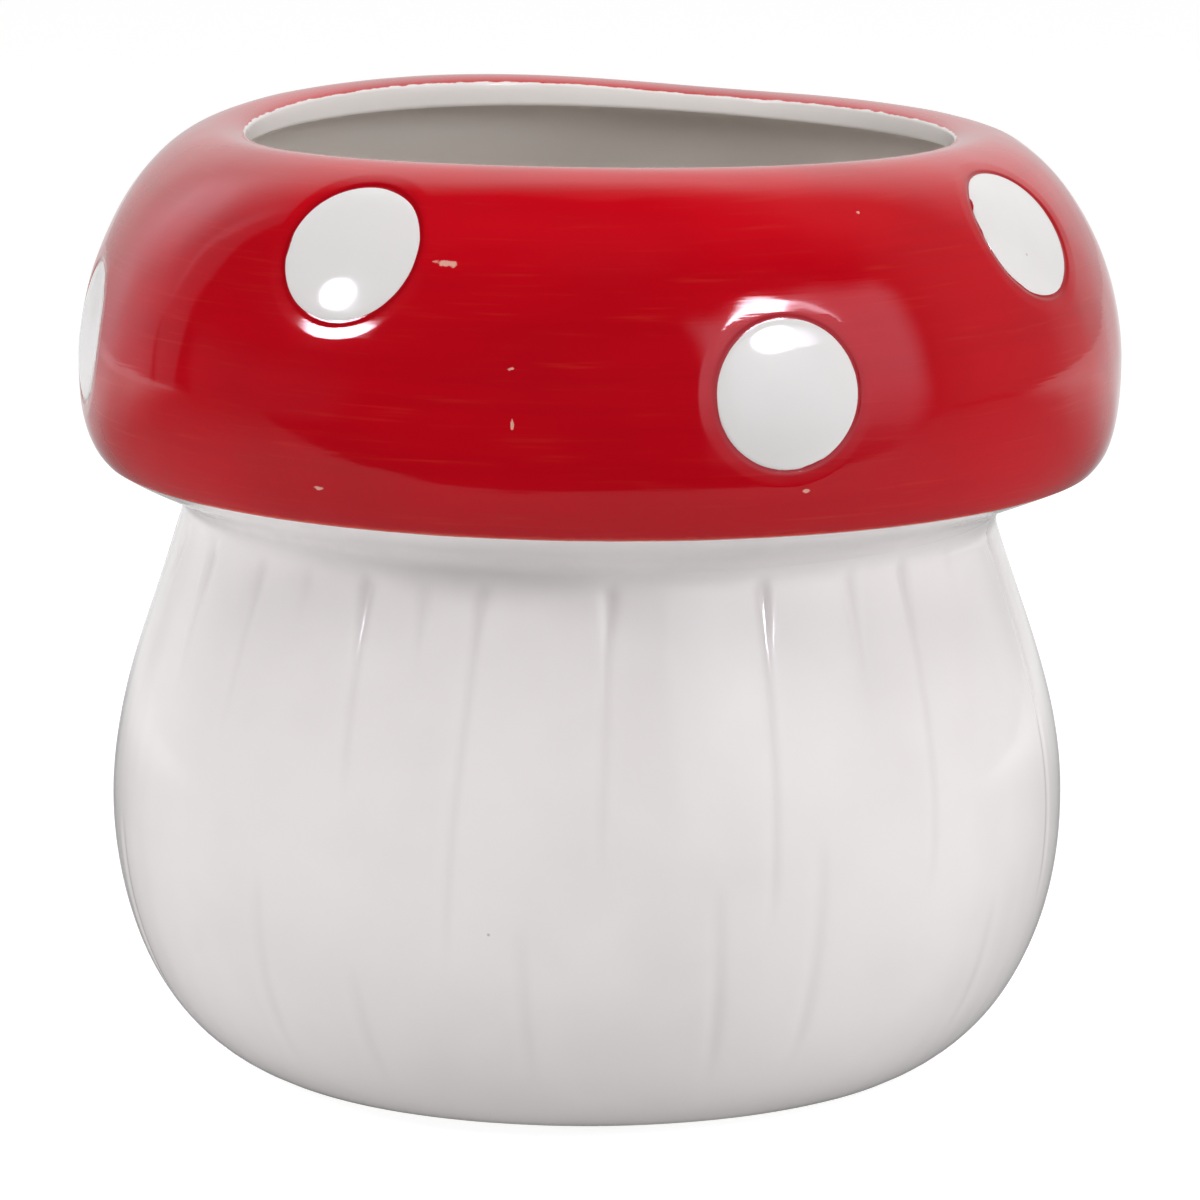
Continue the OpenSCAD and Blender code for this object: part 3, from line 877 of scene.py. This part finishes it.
def red_glaze(context, form):
    """Glossy red brushed on in level strokes, over the pale glaze of the lip and the inside"""
    colours, cap = context.scene.planter_colours, context.scene.planter_cap
    material, tree, shader, place = new_material("brushed_red_glaze", 0.07)
    along = mark(tree, "along")
    strokes = grain(stretched(place, (12, 12, 300)), 1.0, 3)
    fine = grain(stretched(place, (60, 60, 1500)), 1.0, 2)
    red, dark, thin = colours.red, colours.red_dark, colours.red_thin
    shade = patched(red, dark, 0.6, grain(place, 26), 0.35, 0.75)
    # lower down the cap the red turns darker: painted shade, since the lower cap gets less light, as well
    # as thicker glaze there
    shade = patched(shade, dark, 0.4, along, 0.85 * form.length, 0.5 * form.length)
    shade = patched(shade, dark, 0.35, strokes, 0.42, 0.75)
    shade = patched(shade, thin, 0.35, fine, 0.55, 0.85)
    shade = patched(shade, POOLED_RED, 0.9, mark(tree, "sunk"), 0.1, 0.8)
    # the glaze is drawn thin at both of its ragged edges
    height = plus(along, times_plus(grain(place, 420, 3), 0.9 * MM, -0.45 * MM))
    shade = patched(shade, thin, 0.85, height, 0.75 * MM, 0.15 * MM)
    pale = maths("MAXIMUM", specks(place, 75, 0.03, 0.16), chips(place, form))
    shade = mixed(times(pale, 0.85), shade, CHIPPED_RED)
    end = form.length + cap.paint_over
    shade = patched(shade, thin, 0.5, height, end - 0.5 * MM, end - 0.1 * MM)
    white = mixed(0.5, whitened(place, colours), LIP_WHITE)
    # deeper into the mouth the white turns to the darker, warmer inside colour: painted shade
    white = patched(white, colours.inside, 1.0, along, end + 8 * MM, end + 38 * MM)
    shade = patched(shade, white, 1.0, height, end - 0.12 * MM, end + 0.12 * MM)
    ridges = times_plus(pale, -0.8, plus(times(fine, 0.35), strokes))
    coat(shader, shade, ridges, 0.03 * MM)
    return material


def white_glaze(context, name="white_glaze", edged=False):
    """Glossy white, greyer in the grooves as painted shade along with pooled glaze, and darker and warmer
    inside as painted shade; an edged piece has a red rim
    """
    colours = context.scene.planter_colours
    material, tree, shader, place = new_material(name, 0.08)
    inner = mark(tree, "inner")
    # inner surfaces take the darker, warmer inside colour as painted shade
    shade = mixed(inner, whitened(place, colours, mark(tree, "sunk")), colours.inside)
    if edged:
        reach = times_plus(grain(place, 300, 3), 0.5 * MM, mark(tree, "painted"))
        red = times(ramp(reach, 0.85 * MM, 0.7 * MM), maths("SUBTRACT", 1.0, inner))
        shade = mixed(red, shade, colours.red_thin)
    coat(shader, shade, grain(place, 170, 3), 0.01 * MM)
    return material


def spot_glaze(context):
    """Glossy white to a slightly ragged edge, red on the spot's side"""
    colours = context.scene.planter_colours
    material, tree, shader, place = new_material("white_spot_glaze", 0.07)
    shade = patched(colours.spot, colours.pooled, 0.25, grain(place, 90), 0.4, 0.7)
    shade = mixed(times(specks(place, 160, 0.05, 0.12), 0.5), shade, SPOT_PINHOLE)
    bites = ramp(grain(place, 130, 1), 0.62, 0.8, 0.0, -0.7 * MM)
    ragged = times_plus(grain(place, 480, 3), 0.5 * MM, bites)
    edge = context.scene.planter_spot.width / 2 + 0.1 * MM
    reach = maths("SUBTRACT", mark(tree, "radius"), ragged)
    shade = patched(shade, colours.red_dark, 1.0, reach, edge - 0.35 * MM, edge - 0.22 * MM)
    coat(shader, shade, grain(place, 240, 2), 0.02 * MM)
    return material


def bare_clay(context):
    """Unglazed fired clay, rubbed grey where it stands"""
    material, _, shader, place = new_material("bare_fired_clay", 0.85)
    shade = mixed(grain(place, 500, 4), context.scene.planter_colours.clay, CLAY_SHADE)
    shade = mixed(specks(place, 700, 0.2, 0.25), shade, CLAY_GRIT)
    coat(shader, shade, grain(place, 1600, 4), 0.12 * MM)
    return material


# Studio

def way_to(azimuth, height):
    """The direction of an azimuth and a height in degrees."""
    azimuth, height = math.radians(azimuth), math.radians(height)
    level = math.cos(height)
    return Vector((math.sin(azimuth) * level, -math.cos(azimuth) * level, math.sin(height)))


def facing_in(thing, azimuths, heights, distance):
    """Puts a lamp or a card where it fills a span of azimuths and heights; returns its half sizes."""
    way = way_to(sum(azimuths) / 2, sum(heights) / 2)
    thing.location = MIDDLE + way * distance
    thing.rotation_euler = way.to_track_quat("Z", "Y").to_euler()
    tall = math.cos(math.radians(sum(heights) / 2))
    spans = [distance * math.tan(math.radians(span[1] - span[0]) / 2) for span in (azimuths, heights)]
    return spans[0] * tall, spans[1]


def soft_light(name, azimuths, heights, distance, radiance):
    """A round area light that lights the surfaces and isn't seen mirrored in them."""
    data = bpy.data.lights.new(name, "AREA")
    data.shape = "ELLIPSE"
    lamp = placed(name, data)
    across, up = facing_in(lamp, azimuths, heights, distance)
    data.size, data.size_y = 2 * across, 2 * up
    data.energy = radiance * math.pi ** 2 * across * up
    lamp.visible_camera = lamp.visible_glossy = False


def glow_card(name, azimuths, heights, distance, radiance, fades, hot=()):
    """A card that is only seen mirrored in the glaze, darker toward its four edges.

    Each hot patch on it has an azimuth, a height, a radius, a share that fades and a radiance."""
    material, tree, shader, place = new_material(name)
    tree.nodes.remove(shader)
    data = bpy.data.meshes.new(name)
    card = placed(name, data)
    across, up = facing_in(card, azimuths, heights, distance)
    mesh = bmesh.new()
    bmesh.ops.create_grid(mesh, x_segments=1, y_segments=1, size=1)
    bmesh.ops.scale(mesh, verts=mesh.verts, vec=(across, up, 1))
    mesh.to_mesh(data)
    mesh.free()
    x, y, _ = joined("SeparateXYZ", {0: place}).outputs
    held = None
    for value, half, low, high in ((x, across, fades[0], fades[1]), (y, up, fades[2], fades[3])):
        for start, fade in ((-half, 2 * half * low), (half, -2 * half * high)):
            edge = ramp(value, start, start + fade)
            held = edge if held is None else times(held, edge)
    light = radiance
    turn = card.rotation_euler.to_matrix().transposed()
    for azimuth, height, radius, fade, strength in hot:
        way = turn @ way_to(azimuth, height)
        middle = way * (distance / way.z)
        away = vector("DISTANCE", place, (middle.x, middle.y, 0))["Value"]
        size = distance * math.tan(math.radians(radius))
        light = plus(ramp(away, size, size * (1 - fade), 0.0, strength), light)
    glow = node(tree, "Emission", {"Color": CARD_TINT, "Strength": times(held, light)})
    add_glow(tree, node(tree, "BsdfTransparent"), glow)
    data.materials.append(material)
    card.visible_camera = card.visible_diffuse = card.visible_transmission = card.visible_shadow = False


def pale_table(colour):
    """Matt table that stays white to the camera except for the planter's shadow."""
    material, tree, shader, place = new_material("pale_table", 0.8)
    shader.inputs["Base Color"].default_value = (*colour, 1)
    rays = node(tree, "LightPath").outputs
    x, y, _ = joined("SeparateXYZ", {0: place}).outputs
    # it lights the planter less from close by than from afar, and more on the left
    near = ramp(vector("LENGTH", place)["Value"], 0.05, 0.24, 0.4, 0.88)
    near = plus(near, ramp(x, 0.0, -0.16, 0.0, 0.4))
    far = ramp(y, 0.15, 0.6, 0.0, 0.7)
    glow = times_plus(rays["Is Transmission Ray"], 0.7, times(rays["Is Camera Ray"], 0.85))
    glow = times_plus(rays["Is Diffuse Ray"], near, glow)
    glow = times_plus(rays["Is Glossy Ray"], far, glow)
    add_glow(tree, shader, node(tree, "Emission", {"Strength": glow}))
    return material


class PLANTER_OT_stage(PlanterOperator):
    """Makes the table, the surroundings, the lights, the cards mirrored in the glaze and the camera"""
    bl_idname = "planter.stage"
    bl_label = "Stage"

    def surroundings(self, scene):
        """White to the camera; to the planter bright behind, more so higher up, and dim elsewhere."""
        world = bpy.data.worlds.new("studio")
        scene.world = world
        world.use_nodes = True
        tree = world.node_tree
        back = tree.nodes["Background"]
        x, y, z = node(tree, "SeparateXYZ", {0: node(tree, "TexCoord").outputs["Generated"]}).outputs
        rays = node(tree, "LightPath").outputs
        level = maths("SQRT", times_plus(z, times(z, -1.0), 1.001))
        beside = ramp(times_plus(x, 0.5, y), 0.0, 0.5, 0.03, 0.24)
        behind = ramp(maths("DIVIDE", times_plus(x, -0.05, y), level), 0.3, 1.0)
        behind = times(behind, ramp(z, 1.03, 0.87))
        mirrored = times_plus(behind, plus(z, 0.5), beside)
        spread = times_plus(behind, 0.4, beside)
        light = times(mirrored, rays["Is Glossy Ray"])
        light = times_plus(spread, rays["Is Diffuse Ray"], light)
        light = plus(light, rays["Is Transmission Ray"])
        tree.links.new(maths("MAXIMUM", light, rays["Is Camera Ray"]), back.inputs["Strength"])
        back.inputs["Color"].default_value = (1, 1, 1, 1)

    def execute(self, context):
        scene = context.scene
        mesh = bmesh.new()
        bmesh.ops.create_grid(mesh, x_segments=2, y_segments=2, size=TABLE_HALF)
        bmesh.ops.translate(mesh, verts=mesh.verts, vec=(0, TABLE_HALF - TABLE_FRONT, 0))
        table = placed_mesh("table", mesh, pale_table(scene.planter_colours.table))
        self.surroundings(scene)
        for lamp in LIGHTS:
            soft_light(*lamp)
        for card in CARDS:
            glow_card(*card)

        camera = bpy.data.cameras.new("camera")
        camera.lens = camera.sensor_width * FOCAL_PIXELS / FRAME_PIXELS
        camera.shift_y = SHIFT_PIXELS / FRAME_PIXELS
        view = placed("camera", camera)
        view.location = CAMERA_PLACE
        view.rotation_euler = (CAMERA_PLACE - CAMERA_AIM).to_track_quat("Z", "Y").to_euler()
        scene.camera = view
        scene.view_settings.view_transform = "Standard"
        return {"FINISHED"}


class PLANTER_PT_panel(bpy.types.Panel):
    """Lists the planter's sizes, colours and pieces"""
    bl_idname = "PLANTER_PT_panel"
    bl_label = "Mushroom planter"
    bl_space_type = "VIEW_3D"
    bl_region_type = "UI"
    bl_category = "Planter"

    def draw(self, context):
        for operator in OPERATORS:
            self.layout.operator(operator.bl_idname)
        for label, group in GROUPS.items():
            box = self.layout.box()
            box.label(text=label.capitalize())
            for name in group.__annotations__:
                box.prop(getattr(context.scene, "planter_" + label), name)


GROUPS = {"cap": PLANTER_PG_cap, "stem": PLANTER_PG_stem, "spot": PLANTER_PG_spot,
          "colours": PLANTER_PG_colours}
OPERATORS = (PLANTER_OT_stage, PLANTER_OT_stem, PLANTER_OT_foot, PLANTER_OT_underside, PLANTER_OT_dome,
             PLANTER_OT_spots)


def register():
    for made in (*GROUPS.values(), *OPERATORS, PLANTER_PT_panel):
        bpy.utils.register_class(made)
    for label, group in GROUPS.items():
        setattr(bpy.types.Scene, "planter_" + label, PointerProperty(type=group))


def unregister():
    for label in GROUPS:
        delattr(bpy.types.Scene, "planter_" + label)
    for made in reversed((*GROUPS.values(), *OPERATORS, PLANTER_PT_panel)):
        bpy.utils.unregister_class(made)


def main():
    register()
    bpy.ops.planter.stage()
    bpy.ops.planter.stem()
    bpy.ops.planter.foot()
    bpy.ops.planter.underside()
    bpy.ops.planter.dome()
    bpy.ops.planter.spots()


if __name__ == "__main__":
    main()
